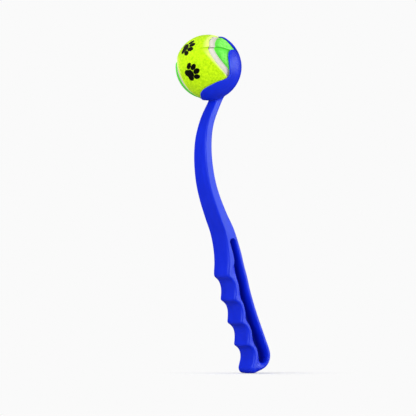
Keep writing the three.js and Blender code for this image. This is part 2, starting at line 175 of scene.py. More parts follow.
def middle_line():
    """Points along the arm's middle line, and their distances along it."""
    points = [np.array([0, -reach * BALL_REACH, rise * BALL_HEIGHT]) for rise, reach in SPINE_SHARES]
    entry = math.radians(ARM_ENTRY)
    inward = (CUP_INNER - ARM_ENTRY_DEPTH) * np.array([0, math.sin(entry), -math.cos(entry)])
    points.append(BALL + inward)
    points = [2 * points[0] - points[1], *points, 2 * points[-1] - points[-2]]
    line = []
    t = np.linspace(0, 1, LINE_STEPS, endpoint=False)[:, None]
    for p0, p1, p2, p3 in zip(points, points[1:], points[2:], points[3:]):
        d0, d1, d2 = (np.linalg.norm(b - a) ** 0.5 for a, b in ((p0, p1), (p1, p2), (p2, p3)))
        start = ((p1 - p0) / d0 - (p2 - p0) / (d0 + d1) + (p2 - p1) / d1) * d1
        stop = ((p2 - p1) / d1 - (p3 - p1) / (d1 + d2) + (p3 - p2) / d2) * d1
        line.append(p1 + start * t + (3 * (p2 - p1) - 2 * start - stop) * t**2
                    + (2 * (p1 - p2) + start + stop) * t**3)
    line = np.vstack([*line, points[-2]])
    along = np.concatenate([[0], np.cumsum(np.linalg.norm(np.diff(line, axis=0), axis=1))])
    return line, along


LINE, ALONG = middle_line()
LENGTH = ALONG[-1]


def on_line(distance):
    return np.array([np.interp(distance, ALONG, LINE[:, k]) for k in range(3)])


def section_frame(distance):
    """The middle line's point at a distance, and the direction toward the throwing side there."""
    # The line's direction is taken between two points this far to each side
    step = 0.5
    tangent = on_line(min(distance + step, LENGTH)) - on_line(max(distance - step, 0))
    tangent /= np.linalg.norm(tangent)
    turn = math.radians(BUTT_TURN) * max(0, 1 - distance / SCALLOP_PITCH)
    forward = np.array([0, -tangent[2], tangent[1]])
    c, s = math.cos(turn), math.sin(turn)
    return on_line(distance), np.array([0, c * forward[1] - s * forward[2], s * forward[1] + c * forward[2]])


ORIGIN = on_line(LAST_BUMP + SCALLOP_PITCH * (SCALLOPS - 1) / 2)
BALL_AT = (BALL - ORIGIN) * MM
print("arm length %.1f mm, ball's middle at %s m" % (LENGTH, BALL_AT.round(4)))

# %% [markdown]
# ## The grip and the arm
# The real grip is cored from both sides, so its section is an I with a thin web, a rounded
# front wall with four finger scallops, and a rounded rib at the back. A boolean would leave
# sharp cuts, so each section is drawn with its channel already in it: the side of a rounded
# rectangle sinks to the web where the section crosses the channel, with a soft step that gives
# the moulding's small radii. Along the scallops the front wall also rolls over toward the
# channel, so only a narrow flat band is left beside the fingers, and the heel is well rounded.

# %% The finger scallops
BUMP_SOFTNESS = 1.25


def scallop_cut(distance):
    """Depth of the finger scallops; a bell-shaped average rounds off the bumps between them."""
    offsets = np.linspace(-2, 2, 17) * BUMP_SOFTNESS
    weights = np.exp(-0.5 * (offsets / BUMP_SOFTNESS) ** 2)
    place = distance + offsets
    cycles = (place - LAST_BUMP) / SCALLOP_PITCH
    below_bump = np.ceil(cycles) - cycles
    cut = SCALLOP_DEPTH * np.sin(np.pi * below_bump**SCALLOP_SKEW)
    cut = np.where((cycles > -1) & (cycles < SCALLOPS - 1), cut, 0)
    top_bump = LAST_BUMP + SCALLOP_PITCH * (SCALLOPS - 1)
    beyond = np.maximum(place - top_bump, LAST_BUMP - SCALLOP_PITCH - place)
    cut -= BUMP_RISE * (1 - smoothstep(beyond / BUMP_FADE))
    return float((cut * weights).sum() / weights.sum())


print("scallops %.1f mm deep" % max(scallop_cut(place) for place in np.arange(0, CHANNEL_TOP, 0.5)))

# %% Half of one section
EDGE_RADIUS, ARM_EDGE_RADIUS, BACK_RADIUS = 2.2, 1.5, 1.0
# How much of the butt's and the heel's rounding goes inward, and the least share for an edge
BUTT_INSET, HEEL_INSET, LEAST_EDGE = 0.8, 0.85, 0.35
# Distances up the arm where the grip's edges turn into the arm's
ARM_START, ARM_FADE = 95.0, 60.0
# Soft steps at the channel's front and at its rib, on the face side (lip) and the web side (foot)
CHANNEL_LIP, RIB_LIP, CHANNEL_FOOT, RIB_FOOT = 0.55, 0.4, 1.3, 3.2
# The front wall's roll: the flat band beside it, how far it sinks, where it ends up the grip
FLAT_BAND, ROLL_SHARE, ROLL_TOP, ROLL_FADE, FULL_ROLL = 4.2, 0.24, 119.0, 13.0, 4.0
# Distances over which rows of points even out above and below the channel
EVEN_ABOVE, EVEN_BELOW = 11.0, 3.0
MARGIN = 0.1


def half_section(distance):
    """(side, forward) points of the section's +X half, front to back, and how deep each is sunk."""
    share = distance / LENGTH
    depth_share = float(table(DEPTH_SHARES, share))
    depth, width = GRIP_DEPTH * depth_share, GRIP_WIDTH * float(table(WIDTH_SHARES, share))
    near_end = max(1 - distance / BUTT_ROUNDING, 0)
    inset = BUTT_INSET * BUTT_ROUNDING * (1 - math.sqrt(1 - near_end**2))
    near_heel = max(1 - distance / HEEL_ROUNDING, 0)
    heel_inset = max(inset, HEEL_INSET * HEEL_ROUNDING * (1 - math.sqrt(1 - near_heel**2)))
    front, back, half = depth / 2 - scallop_cut(distance) - inset, depth / 2 - heel_inset, width / 2 - inset
    in_arm = smoothstep((distance - ARM_START) / ARM_FADE)
    corner = max(EDGE_RADIUS + (ARM_EDGE_RADIUS - EDGE_RADIUS) * in_arm - inset, LEAST_EDGE * inset)
    round_back = max(BACK_RADIUS + (ARM_EDGE_RADIUS - BACK_RADIUS) * in_arm - inset, LEAST_EDGE * inset)

    # The channel reaches from near, behind the front wall, to far, in front of the rib
    channel_share = float(table(DEPTH_SHARES, CHANNEL_TOP / LENGTH))
    in_grip = max(0, (depth_share - channel_share) / (1 - channel_share))
    wall = FRONT_WALL * float(table(FRONT_WALL_SHARES, share)) * depth_share
    near = depth / 2 - (SCALLOP_DEPTH - BUMP_RISE) * in_grip - wall
    far = -(depth / 2 - RIB)
    middle, reach = (near + far) / 2, (near - far) / 2
    in_roll = float(smoothstep((ROLL_TOP - distance) / ROLL_FADE))
    roll = MARGIN + in_roll * max(front - near - FLAT_BAND, 0)

    # The outline without its channel, with more points where the channel's steps will be
    turns = np.radians(np.linspace(0, 90, 9))
    front_face = [[x, front] for x in np.linspace(0, half - corner, 7)[:-1]]
    front_corner = [[half - corner + corner * math.sin(a), front - corner + corner * math.cos(a)] for a in turns]
    start, stop = front - corner, round_back - back
    lip = min(max(roll, CHANNEL_LIP) + MARGIN, start - near - MARGIN)
    foot = CHANNEL_FOOT + MARGIN
    drawn = np.concatenate([
        np.linspace(start, near + lip, 5)[1:], np.linspace(near + lip, near - foot, 9)[1:],
        np.linspace(near - foot, far + RIB_FOOT, 10)[1:],
        np.linspace(far + RIB_FOOT, far - RIB_LIP - MARGIN, 13)[1:]])
    even = np.linspace(start, stop, len(drawn) + 1)[1:]
    past_channel = max((distance - CHANNEL_TOP - 1) / EVEN_ABOVE, (CHANNEL_BOTTOM + 1 - distance) / EVEN_BELOW)
    blend = float(smoothstep(past_channel))
    side_face = drawn * (1 - blend) + even * blend
    side = [[half - round_back + math.sqrt(max(round_back**2 - max(stop - f, 0) ** 2, 0)), f] for f in side_face]
    last = math.asin(np.clip((stop - side_face[-1]) / round_back, 0, 1))
    back_corner = [[half - round_back + round_back * math.cos(a), stop - round_back * math.sin(a)]
                   for a in np.linspace(last, math.pi / 2, 8)[1:]]
    back_face = [[x, -back] for x in np.linspace(half - round_back, 0, 6)[1:]]
    points = np.array([*front_face, *front_corner, *side, *back_corner, *back_face])

    # Points over the channel sink toward the web, and the front face gets its slight crown
    from_end = min(distance - CHANNEL_BOTTOM, CHANNEL_TOP - distance)
    past_round = min(from_end - reach, 0)
    depth_in = reach - np.hypot(past_round, points[:, 1] - middle)
    toward_front = smoothstep(0.5 + (points[:, 1] - middle) / (2 * reach))
    lip_here = RIB_LIP + (CHANNEL_LIP - RIB_LIP) * toward_front
    foot_here = RIB_FOOT + (CHANNEL_FOOT - RIB_FOOT) * toward_front
    step = smoothstep((depth_in + lip_here) / (lip_here + foot_here))
    slope = ROLL_SHARE * toward_front * np.clip((depth_in + roll) / roll, 0, 1) ** 2
    slope *= min(roll / FULL_ROLL, 1)
    sunk = slope + (1 - slope) * step
    moved = np.maximum(points[:, 0] - WEB / 2, 0) * sunk
    points[:, 0] -= moved
    recess = moved / (width / 2 - WEB / 2)
    crown = FRONT_CROWN * min(1, depth / GRIP_DEPTH)
    ahead = np.maximum(points[:, 1], 0)
    points[:, 1] -= crown * (ahead / front) * (points[:, 0] / half) ** 2
    return points, recess


print("half a section: %d points" % len(half_section(CHANNEL_TOP / 2)[0]))

# %% [markdown]
# ## Rings up the arm, and the fillet at the cup
# Whole sections become closed rings along the middle line, closer together at the channel's two
# round ends. Near the cup, each line of the skin turns outward in a fillet that lands on it. A
# bevel there would need clean edge loops, which a boolean doesn't leave, so the fillet is drawn
# as a part of the skin.

# %% Rings up the arm
RING_STEP, FINE_STEP, ARM_STEP, LEAST_STEP = 1.0, 0.3, 1.8, 0.12
FINE_REACH = 7.0
BUTT_RINGS = 11


def section_ring(distance):
    """A whole closed ring of the arm's skin, as points in the butt's frame."""
    half, _ = half_section(distance)
    mirrored = half[-2:0:-1] * [-1, 1]
    outline = np.vstack([half, mirrored])
    place, forward = section_frame(distance)
    return place + outline[:, :1] * np.array([1.0, 0, 0]) + outline[:, 1:] * forward


def stations():
    """Distances of the rings along the arm, closer at the butt and at the channel's ends."""
    rounding = BUTT_ROUNDING * (1 - np.cos(np.radians(np.linspace(0, 90, BUTT_RINGS))))
    grip = np.arange(BUTT_ROUNDING + 1, CHANNEL_TOP + 4, RING_STEP)
    ends = [np.arange(CHANNEL_BOTTOM - 1, CHANNEL_BOTTOM + FINE_REACH, FINE_STEP),
            np.arange(CHANNEL_TOP - FINE_REACH, CHANNEL_TOP + 1, FINE_STEP)]
    arm = np.arange(CHANNEL_TOP + 5, LENGTH, ARM_STEP)
    places = np.unique(np.concatenate([rounding, grip, *ends, arm]).round(3))
    return places[np.concatenate([[True], np.diff(places) > LEAST_STEP])]


print("%d places for rings" % len(stations()))

# %% The arm's skin
FILLET, FILLET_CLEAR, FILLET_SINK = 2.2, 0.6, 0.3
FILLET_RINGS, FILLET_LOOKS = 15, 90


def arm_mesh():
    """Rings up the arm, then a fillet whose last ring lies just inside the cup's wall."""
    rings, recess = [], []
    for distance in stations():
        ring = section_ring(distance)
        if (np.linalg.norm(ring - BALL, axis=1) - CUP_OUTER).min() < FILLET + FILLET_CLEAR:
            break
        rings.append(ring)
        sunk = half_section(distance)[1]
        recess.extend([*sunk, *sunk[-2:0:-1]])
        last = distance
    fine = np.linspace(last, LENGTH, FILLET_LOOKS)
    lines = np.array([section_ring(d) for d in fine])
    axes = np.array([on_line(d) for d in fine])
    heights = np.linalg.norm(lines - BALL, axis=2) - CUP_OUTER
    for share in np.sin(np.radians(np.linspace(0, 90, FILLET_RINGS)))[1:]:
        ring = []
        for i in range(lines.shape[1]):
            height = heights[0, i] * (1 - share) - FILLET_SINK * share
            k = np.argmax(heights[:, i] <= height)
            t = (heights[k - 1, i] - height) / (heights[k - 1, i] - heights[k, i])
            point = lines[k - 1, i] * (1 - t) + lines[k, i] * t
            axis = axes[k - 1] * (1 - t) + axes[k] * t
            outward = (point - BALL) / np.linalg.norm(point - BALL)
            away = point - axis
            away -= outward * (away @ outward)
            away /= np.linalg.norm(away)
            gap = max(height + FILLET_SINK, 0)
            spread = FILLET - math.sqrt(max(FILLET**2 - max(FILLET - gap, 0) ** 2, 0))
            moved = point + away * spread
            moved = BALL + (moved - BALL) / np.linalg.norm(moved - BALL) * (CUP_OUTER + height)
            ring.append(moved)
        rings.append(np.array(ring))
    count = len(rings[0])
    points = np.vstack(rings)
    faces = [f[::-1] for f in grid_faces(len(rings), count)]
    faces.append(list(range(count)))
    faces.append(list(range((len(rings) - 1) * count, len(rings) * count))[::-1])
    recess.extend([0.0] * (len(points) - len(recess)))
    return points - ORIGIN, faces, recess


arm_points, arm_faces, arm_recess = arm_mesh()
print("arm: %d points" % len(arm_points))

# %% [markdown]
# ## The cup
# The cup is a thin wall round the ball with petals that snap over it, a deep hollow between
# the petals at each side and a slit behind each side petal, which lets it flex. It is drawn
# ray by ray from the middle of its back to its rim: outer skin, round lip, inner skin. The wall
# thins toward the rim. The two slits are the one place where a boolean is the natural tool.

# %% The rim
# Angle round the mouth's axis, and the rim's angle from that axis
RIM_ANGLES = [
    [-90, 105], [-83, 97.5], [-77, 90.5], [-71, 85.4], [-62, 82], [-55, 81.8], [-48, 82.8], [-36.5, 87],
    [-27.5, 93.2], [-21, 99], [-15, 102.3], [-9, 101.8], [-2, 97.4], [8, 90.5], [17, 86.4],
    [24, 85.8], [30, 87.6], [36, 92], [42, 100], [48, 98.5], [54, 92.5], [60, 89.5], [66, 88],
    [78, 87.5], [90, 88], [102, 87.5], [114, 88], [120, 89.5], [126, 92.5], [132, 98.5], [138, 100],
    [144, 92], [150, 87.6], [156, 85.8], [163, 86.4], [172, 91], [180, 97.4],
    [187, 100], [193, 96], [200, 88], [207, 83.5], [214, 83], [221, 86.5], [228, 93.5], [235, 103],
    [242, 111.5], [249, 114], [256, 113], [263, 109.5], [270, 105],
]
tilt = math.radians(CUP_ELEVATION)
MOUTH = np.array([0, -math.cos(tilt), math.sin(tilt)])
MOUTH_UP = np.array([0, math.sin(tilt), math.cos(tilt)])


def cup_direction(around, reach):
    """Unit directions from the ball's middle: angle around the mouth's axis and angle from it."""
    a, r = np.radians(around), np.radians(reach)
    across = np.cos(a)[..., None] * np.array([1.0, 0, 0]) + np.sin(a)[..., None] * MOUTH_UP
    return across * np.sin(r)[..., None] + MOUTH * np.cos(r)[..., None]


def rim_reach(around):
    return table(RIM_ANGLES, (np.asarray(around, float) + 90) % 360 - 90)


print("rim between %.0f and %.0f degrees" % (min(r for _, r in RIM_ANGLES), max(r for _, r in RIM_ANGLES)))

# %% The cup's wall
def cup_mesh(rays=288, shell_steps=34, lip_steps=8):
    around = np.arange(rays) * 360 / rays
    lip_radius = LIP_WALL / 2
    lip_middle = CUP_INNER + lip_radius
    lip = rim_reach(around) + math.degrees(lip_radius / lip_middle)
    rows = [np.broadcast_to(-MOUTH * CUP_OUTER, (rays, 3))]
    for i in range(1, shell_steps + 1):
        reach = 180 - (180 - lip) * i / shell_steps
        radius = CUP_INNER + LIP_WALL + (CUP_WALL - LIP_WALL) * smoothstep((reach - lip) / LIP_TAPER)
        rows.append(cup_direction(around, reach) * radius[:, None])
    for i in range(1, lip_steps):
        turn = math.pi * i / lip_steps
        reach = lip - math.degrees(lip_radius * math.sin(turn) / lip_middle)
        rows.append(cup_direction(around, reach) * (lip_middle + lip_radius * math.cos(turn)))
    for i in range(shell_steps, 0, -1):
        rows.append(cup_direction(around, 180 - (180 - lip) * i / shell_steps) * CUP_INNER)
    points = np.vstack([[-MOUTH * CUP_OUTER], *rows[1:], [-MOUTH * CUP_INNER]])
    faces = [[0, 1 + (k + 1) % rays, 1 + k] for k in range(rays)]
    faces += [[1 + v for v in reversed(f)] for f in grid_faces(len(rows) - 1, rays)]
    final, ring = len(points) - 1, 1 + (len(rows) - 2) * rays
    faces += [[final, ring + k, ring + (k + 1) % rays] for k in range(rays)]
    return points + BALL - ORIGIN, faces


def outward_facing(piece):
    """Turns a closed mesh's faces outward."""
    form = bmesh.new()
    form.from_mesh(piece.data)
    bmesh.ops.recalc_face_normals(form, faces=form.faces)
    form.to_mesh(piece.data)
    form.free()


cup = mesh_object("cup", *cup_mesh())
outward_facing(cup)
print("cup: %d faces" % len(cup.data.polygons))

# %% The two slits
SPARE = 6.0


def slit_cutter(side):
    """A bar with a round bottom that cuts one slit from the rim down into the wall."""
    around = SLIT_SIDE if side > 0 else 180 - SLIT_SIDE
    bottom, mouth = (cup_direction(np.array(around), np.array(r)) for r in (SLIT_BOTTOM, rim_reach(around)))
    outward = cup_direction(np.array(around), np.array((SLIT_BOTTOM + rim_reach(around)) / 2))
    along = mouth - bottom
    along -= outward * (along @ outward)
    along /= np.linalg.norm(along)
    across = np.cross(along, outward)
    half = SLIT_WIDTH / 2
    length = np.linalg.norm(mouth - bottom) * CUP_OUTER + SPARE
    bend = np.radians(np.linspace(180, 360, 17))
    outline = [[half * math.cos(a), half + half * math.sin(a)] for a in bend] + [[half, length], [-half, length]]
    base = BALL + bottom * CUP_OUTER - outward * (CUP_WALL + SPARE) - ORIGIN
    points = [base + across * x + along * y + outward * z for z in (0, CUP_WALL + 2 * SPARE) for x, y in outline]
    n = len(outline)
    faces = [[i, (i + 1) % n, n + (i + 1) % n, n + i] for i in range(n)]
    faces += [list(range(n))[::-1], list(range(n, 2 * n))]
    return mesh_object("slit_cutter", points, faces)


def applied(piece):
    """The piece's mesh with its modifiers worked in, and the modifiers gone."""
    depsgraph = bpy.context.evaluated_depsgraph_get()
    mesh = bpy.data.meshes.new_from_object(piece.evaluated_get(depsgraph))
    piece.modifiers.clear()
    piece.data = mesh
    return piece


for side in (1, -1):
    cutter = slit_cutter(side)
    outward_facing(cutter)
    cut = cup.modifiers.new("slit", "BOOLEAN")
    cut.operation, cut.solver, cut.object = "DIFFERENCE", "EXACT", cutter
    applied(cup)
    bpy.data.objects.remove(cutter)
print("cup with its slits: %d faces" % len(cup.data.polygons))

# %% One moulding from the arm and the cup
SHARP_ANGLE = 48.0
arm = mesh_object("arm", arm_points, arm_faces)
outward_facing(arm)
form = bmesh.new()
form.from_mesh(arm.data)
form.from_mesh(cup.data)
whole = bpy.data.meshes.new("thrower_moulding")
form.to_mesh(whole)
form.free()
moulding = bpy.data.objects.new("thrower_moulding", whole)
bpy.context.scene.collection.objects.link(moulding)
for spare in (arm, cup):
    bpy.data.objects.remove(spare)
whole.shade_smooth()
whole.set_sharp_from_angle(angle=math.radians(SHARP_ANGLE))
# How deep each point lies in the channel, for the painted shade in the channels further down
in_channel = np.concatenate([arm_recess, np.zeros(len(whole.vertices) - len(arm_recess))])
whole.attributes.new("recess", "FLOAT", "POINT").data.foreach_set("value", in_channel)
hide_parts("launcher")
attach(moulding, "launcher")
print("moulding: %d faces" % len(whole.polygons))

# %% [markdown]
# ## The ball's seam
# A tennis-type ball is covered by two equal dog-bone panels of felt. The seam between them is
# one closed wave round the ball, and a short formula in sines and cosines gives it. The panels
# here start from the same formula as the model's, so they meet the cement all the way round.
# On this ball the two halves of the core are glued a little askew, so what lies above the
# core's parting line is turned by two millimetres. That makes a sharp kink in the seam at the
# right of the photograph; on the ball's other side the felt takes it up in a soft bend.

# %% The photograph's directions
# Degrees from the front round to the camera
AZIMUTH = 54.0
VIEW_RIGHT = np.array([math.cos(math.radians(AZIMUTH)), math.sin(math.radians(AZIMUTH)), 0])
VIEW_TOWARD = np.array([math.sin(math.radians(AZIMUTH)), -math.cos(math.radians(AZIMUTH)), 0])
UP = np.array([0, 0, 1.0])
print("camera toward", VIEW_TOWARD.round(3))

# %% The ball's seam
# In degrees: how the panels and the core's parting line are turned, and how far askew the halves are
PANEL_HEADING, PANEL_ELEVATION, PANEL_SPIN = 10.3, 26.0, 57.7
PARTING_HEADING, PARTING_ELEVATION = 156.5, 53.0
ASKEW = 3.4
# In millimetres: where, toward the photograph's right, the kink begins to sharpen and over what
# width, and its height where it is sharp and where it is a soft bend
KINK_START, KINK_FADE, KINK_HEIGHT, BEND_HEIGHT = -16.0, 15.0, 0.5, 13.0


def turned(axis, degrees):
    return np.array(Matrix.Rotation(math.radians(degrees), 3, axis))


def panel_frame():
    """Columns: the seam formula's X, Y and Z in the row frame."""
    elevation, spin = math.radians(PANEL_ELEVATION), math.radians(PANEL_SPIN)
    waist = np.array([0, -math.cos(elevation), math.sin(elevation)])
    down = np.array([0, -math.sin(elevation), -math.cos(elevation)])
    lobe = np.array([math.cos(spin), 0, 0]) + down * math.sin(spin)
    basis = np.stack([lobe, np.cross(waist, lobe), waist], 1)
    return turned("Z", PANEL_HEADING) @ basis @ turned("Z", 45)


PANELS = panel_frame()
heading, elevation = math.radians(PARTING_HEADING), math.radians(PARTING_ELEVATION)
PARTING = np.array([math.cos(heading) * math.cos(elevation), math.sin(heading) * math.cos(elevation),
                    math.sin(elevation)])


def seam_point(turn):
    wide = 1 - SEAM_LOBE
    return np.stack([wide * np.cos(turn) + SEAM_LOBE * np.cos(3 * turn),
                     wide * np.sin(turn) - SEAM_LOBE * np.sin(3 * turn),
                     2 * math.sqrt(wide * SEAM_LOBE) * np.sin(2 * turn)], -1)


def beside_seam(turn, distance):
    """Unit directions beside the seam, at a distance over the ball's face toward +Z's panel."""
    point = seam_point(turn)
    tangent = seam_point(turn + 0.001) - seam_point(turn - 0.001)
    tangent /= np.linalg.norm(tangent, axis=-1, keepdims=True)
    angle = distance / BALL_RADIUS
    return point * math.cos(angle) + np.cross(point, tangent) * math.sin(angle)


def on_ball(local):
    """From the seam formula's frame into the row frame, with the upper half turned askew."""
    points = np.asarray(local) @ PANELS.T
    sharp = smoothstep((points @ VIEW_RIGHT - KINK_START) / KINK_FADE)
    height = BEND_HEIGHT - (BEND_HEIGHT - KINK_HEIGHT) * sharp
    upper = smoothstep((points @ PARTING) / height + 0.5)[:, None]
    swung = points @ np.array(Matrix.Rotation(math.radians(ASKEW), 3, Vector(PARTING))).T
    return points * (1 - upper) + swung * upper + BALL - ORIGIN


print("kink of %.1f mm" % (BALL_RADIUS * math.radians(ASKEW)))

# %% [markdown]
# ## The felt panels
# Each panel is a patch of the ball's skin. Rays run from the middle of its waist to its edge,
# and the last rings round over and go down to the cement, as cut felt does. The nap stands a
# little proud of the model's ball. A copy of the paw print's own flat coordinates is laid on
# each face as a UV map, for the ink further down. The first two prints lie where the
# photograph shows them, and the others at likely places on the sides that it doesn't show.

# %% Places of the paw prints
# Each print has a flat round patch of this radius to itself
PAW_REACH = 12.0


def seen(right, up, toward):
    """A direction on the ball: to the photograph's right, up, and toward its camera."""
    way = right * VIEW_RIGHT + up * UP + toward * VIEW_TOWARD
    return way / np.linalg.norm(way)


def paw_place(pad, toes):
    """A paw's middle, which is the middle of its pad, and the direction of its toes there."""
    ahead = toes - pad * (toes @ pad)
    return pad, ahead / np.linalg.norm(ahead)


PAWS = [
    paw_place(seen(-17.5, -8.0, 25.2), seen(-13.0, -3.1, 28.8)),
    paw_place(seen(-22.1, 18.1, 13.7), seen(-15.9, 19.4, 19.5)),
    paw_place(seen(-0.86, -0.22, -0.46), seen(-0.9, 0.1, -0.4)),
    paw_place(seen(-0.42, 0.42, -0.8), seen(-0.2, 0.62, -0.76)),
    paw_place(seen(0.25, -0.35, -0.9), seen(0.45, -0.15, -0.88)),
    paw_place(seen(0.02, 0.9, -0.42), seen(0.2, 0.93, -0.2)),
    paw_place(seen(0.86, 0.1, 0.5), seen(0.9, 0.35, 0.3)),
    paw_place(seen(0.45, -0.85, 0.3), seen(0.6, -0.75, 0.1)),
    paw_place(seen(-0.3, -0.9, -0.3), seen(-0.5, -0.8, -0.4)),
    paw_place(seen(0.85, 0.2, -0.48), seen(0.7, 0.45, -0.6)),
]
print("%d paw prints" % len(PAWS))

# %% The felt panels
# Width and drop of the rounded edge, and how far the cut stands from the seam's nominal edge
FELT_EDGE, EDGE_DROP, FELT_CUT = 1.1, 0.55, 0.05
# The panel's foot is this far above the core, and its middle counts as this far from an edge
FELT_FOOT, WELL_INSIDE = 0.2, 9.0
UNDER_RINGS = 10


def felt_panel(name, pole, rays=288, rings=46):
    """A panel's closed mesh, with the distance of each point from the cut edge as inside."""
    turns = -pole * 2 * np.pi * np.arange(rays) / rays
    rim = beside_seam(turns, pole * (SEAM_WIDTH / 2 + FELT_CUT))
    middle = np.array([0, 0, float(pole)])
    angle = np.arccos(rim @ middle)
    edge = FELT_EDGE / BALL_RADIUS
    rows = []
    for i in range(1, rings + 1):
        swing = (angle - edge) * i / rings
        rows.append((swing, np.full(rays, BALL_RADIUS + NAP)))
    for a in np.radians(np.linspace(0, 90, 6)[1:]):
        drop = EDGE_DROP * (1 - math.cos(a))
        rows.append((angle - edge * (1 - math.sin(a)), np.full(rays, BALL_RADIUS + NAP - drop)))
    floor = BALL_RADIUS - FELT_THICKNESS + FELT_FOOT
    rows.append((angle, np.full(rays, floor)))
    for i in range(UNDER_RINGS, 0, -1):
        rows.append((angle * i / (UNDER_RINGS + 1), np.full(rays, floor)))
    points, inside = [middle * (BALL_RADIUS + NAP)], [WELL_INSIDE]
    for swing, radius in rows:
        inside.extend((angle - swing) * BALL_RADIUS)
        direction = middle * np.sin(angle - swing)[:, None] + rim * np.sin(swing)[:, None]
        direction /= np.linalg.norm(direction, axis=1, keepdims=True)
        points.extend(direction * radius[:, None])
    points.append(middle * floor)
    inside.append(WELL_INSIDE)
    final, ring = len(points) - 1, 1 + (len(rows) - 1) * rays
    faces = [[0, 1 + k, 1 + (k + 1) % rays] for k in range(rays)]
    faces += [[1 + v for v in f] for f in grid_faces(len(rows), rays)]
    faces += [[final, ring + (k + 1) % rays, ring + k] for k in range(rays)]
    panel = mesh_object(name, on_ball(np.array(points)), faces)
    outward_facing(panel)
    panel.data.attributes.new("inside", "FLOAT", "POINT").data.foreach_set("value", inside)
    return panel


felts = {"yellow": felt_panel("yellow_felt", 1), "green": felt_panel("green_felt", -1)}
print("felt panels:", {colour: len(felt.data.polygons) for colour, felt in felts.items()}, "faces")

# %% Flat coordinates for the paw prints
# Faces further than PAW_MARGIN times the reach from every print are set at OFF_PAW, out of its ink
PAW_MARGIN, OFF_PAW = 1.3, 9.0


def lay_paw_coordinates(panel):
    """The UV map paw: flat coordinates of the nearest paw print, 1 for each PAW_REACH."""
    mesh = panel.data
    places = np.empty(len(mesh.vertices) * 3)
    mesh.vertices.foreach_get("co", places)
    places = places.reshape(-1, 3) / MM - (BALL - ORIGIN)
    uv = mesh.uv_layers.new(name="paw")
    middles = np.array([m for m, _ in PAWS])
    values = np.full((len(mesh.loops), 2), OFF_PAW)
    for polygon in mesh.polygons:
        corners = places[list(polygon.vertices)]
        centre = corners.mean(0)
        k = int(np.argmax(middles @ centre))
        middle, toes = PAWS[k]
        if middle @ centre < BALL_RADIUS * math.cos(PAW_REACH * PAW_MARGIN / BALL_RADIUS):
            continue
        side = np.cross(toes, middle)
        direction = corners / np.linalg.norm(corners, axis=1, keepdims=True)
        arc = np.arccos(np.clip(direction @ middle, -1, 1)) * BALL_RADIUS
        flat = np.stack([direction @ side, direction @ toes], 1)
        flat /= np.maximum(np.linalg.norm(flat, axis=1, keepdims=True), 1e-9)
        values[list(polygon.loop_indices)] = flat * arc[:, None] / PAW_REACH
    uv.data.foreach_set("uv", values.ravel())


for felt in felts.values():
    lay_paw_coordinates(felt)
print("UV maps:", [felt.data.uv_layers[0].name for felt in felts.values()])

# %% [markdown]
# ## The cement in the seam
# The panels' edges are dipped in off-white rubber cement, and it fills the seam as a flat
# band that follows the wave. That is a rule along a path, so Geometry Nodes make it: a flat
# grid has one side for the way round the ball and one for the way across the band, and Set
# Position sends each of its points to its place by the same sines and cosines as above.

# %% The cement's tree
# The band reaches this far under the felt's edges, both sides together
UNDER_FELT = 0.5
# The grid's two short ends meet once it is bent round, and points this close become one
MERGE_WITHIN = 0.001
BAND = {"Steps round": 720, "Steps across": 8, "Width": SEAM_WIDTH + UNDER_FELT,
        "Radius": BALL_RADIUS - SEAM_RECESS, "Lobe": SEAM_LOBE}


